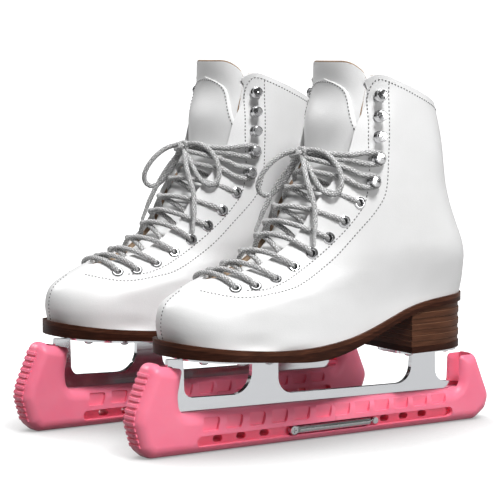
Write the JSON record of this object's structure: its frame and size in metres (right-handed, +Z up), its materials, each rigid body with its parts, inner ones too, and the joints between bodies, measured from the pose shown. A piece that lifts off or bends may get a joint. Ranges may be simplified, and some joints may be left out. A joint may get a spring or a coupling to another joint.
{
  "type": "ice skates",
  "caption": "Pair of laced leather figure-skating boots with steel blades, hook lacing and stacked heels, standing in spring-held walking guards.",
  "frame": {"origin": "bottom centre of the pair's box: on the floor, between the two skates", "axes": "+X toe-ward, +Y the wearer's left, +Z up; the floor is Z = 0"},
  "size_m": [0.3167, 0.2212, 0.26],
  "materials": {
    "white_leather": "smooth satin",
    "tan_lining": "brushed matte",
    "interlining": "woven",
    "stiffener": "pressed fibre",
    "sole_leather": "waxed",
    "heel_leather": "stacked, waxed",
    "nickel": "polished",
    "lace_cord": "braided",
    "chrome_steel": "mirror plated",
    "screw_steel": "bright",
    "tube_steel": "polished",
    "spring_steel": "bright",
    "pink_plastic": "satin, slightly translucent"
  },
  "bodies": {
    "left_guard_front_half": {"left_guard_front": "pink_plastic", "left_spring_tubes": "tube_steel", "left_springs": "spring_steel", "left_anchor_screws": "screw_steel"},
    "left_guard_rear_half": {"left_guard_rear": "pink_plastic", "left_pull_rods": "tube_steel", "left_anchor_pins": "screw_steel"},
    "left_skate": {"left_upper_lateral": "white_leather", "left_upper_medial": "white_leather", "left_eyestay": "stiffener", "left_interlining": "interlining", "left_lining": "tan_lining", "left_toe_puff": "stiffener", "left_heel_counter": "stiffener", "left_tongue_lower": "white_leather", "left_insole": "tan_lining", "left_midsole": "sole_leather", "left_outsole": "sole_leather", "left_heel_lifts": "heel_leather", "left_heel_cap": "sole_leather", "left_eyelets": "nickel", "left_hooks": "nickel", "left_lace": "lace_cord", "left_bow_medial": "lace_cord", "left_bow_lateral": "lace_cord", "left_aglets": "nickel", "left_blade_plates": "chrome_steel", "left_blade": "chrome_steel", "left_blade_screws": "screw_steel"},
    "left_tongue": {"left_tongue_top": "white_leather"},
    "right_guard_front_half": {"right_guard_front": "pink_plastic", "right_spring_tubes": "tube_steel", "right_springs": "spring_steel", "right_anchor_screws": "screw_steel"},
    "right_guard_rear_half": {"right_guard_rear": "pink_plastic", "right_pull_rods": "tube_steel", "right_anchor_pins": "screw_steel"},
    "right_skate": {"right_upper_lateral": "white_leather", "right_upper_medial": "white_leather", "right_eyestay": "stiffener", "right_interlining": "interlining", "right_lining": "tan_lining", "right_toe_puff": "stiffener", "right_heel_counter": "stiffener", "right_tongue_lower": "white_leather", "right_insole": "tan_lining", "right_midsole": "sole_leather", "right_outsole": "sole_leather", "right_heel_lifts": "heel_leather", "right_heel_cap": "sole_leather", "right_eyelets": "nickel", "right_hooks": "nickel", "right_lace": "lace_cord", "right_bow_medial": "lace_cord", "right_bow_lateral": "lace_cord", "right_aglets": "nickel", "right_blade_plates": "chrome_steel", "right_blade": "chrome_steel", "right_blade_screws": "screw_steel"},
    "right_tongue": {"right_tongue_top": "white_leather"}
  },
  "joints": [
    {"name": "left_guard_stretch", "type": "slide", "parent": "left_guard_front_half", "child": "left_guard_rear_half", "axis": [-1, 0, 0], "range_m": [0, 0.022], "deforming": ["left_springs"]},
    {"name": "left_skate_lift", "type": "slide", "parent": "left_guard_front_half", "child": "left_skate", "axis": [0, 0, 1], "range_m": [0, 0.12]},
    {"name": "left_tongue_flex", "type": "hinge", "parent": "left_skate", "child": "left_tongue", "pos_m": [-0.004, 0.06375, 0.2072], "axis": [0, 1, 0], "range_deg": [0, 28]},
    {"name": "right_guard_stretch", "type": "slide", "parent": "right_guard_front_half", "child": "right_guard_rear_half", "axis": [-1, 0, 0], "range_m": [0, 0.022], "deforming": ["right_springs"]},
    {"name": "right_skate_lift", "type": "slide", "parent": "right_guard_front_half", "child": "right_skate", "axis": [0, 0, 1], "range_m": [0, 0.12]},
    {"name": "right_tongue_flex", "type": "hinge", "parent": "right_skate", "child": "right_tongue", "pos_m": [0.013, -0.06375, 0.2072], "axis": [0, 1, 0], "range_deg": [0, 28]},
    {"name": "pair_apart", "type": "slide", "parent": "left_guard_front_half", "child": "right_guard_front_half", "axis": [0, -1, 0], "range_m": [0, 0.2]}
  ]
}
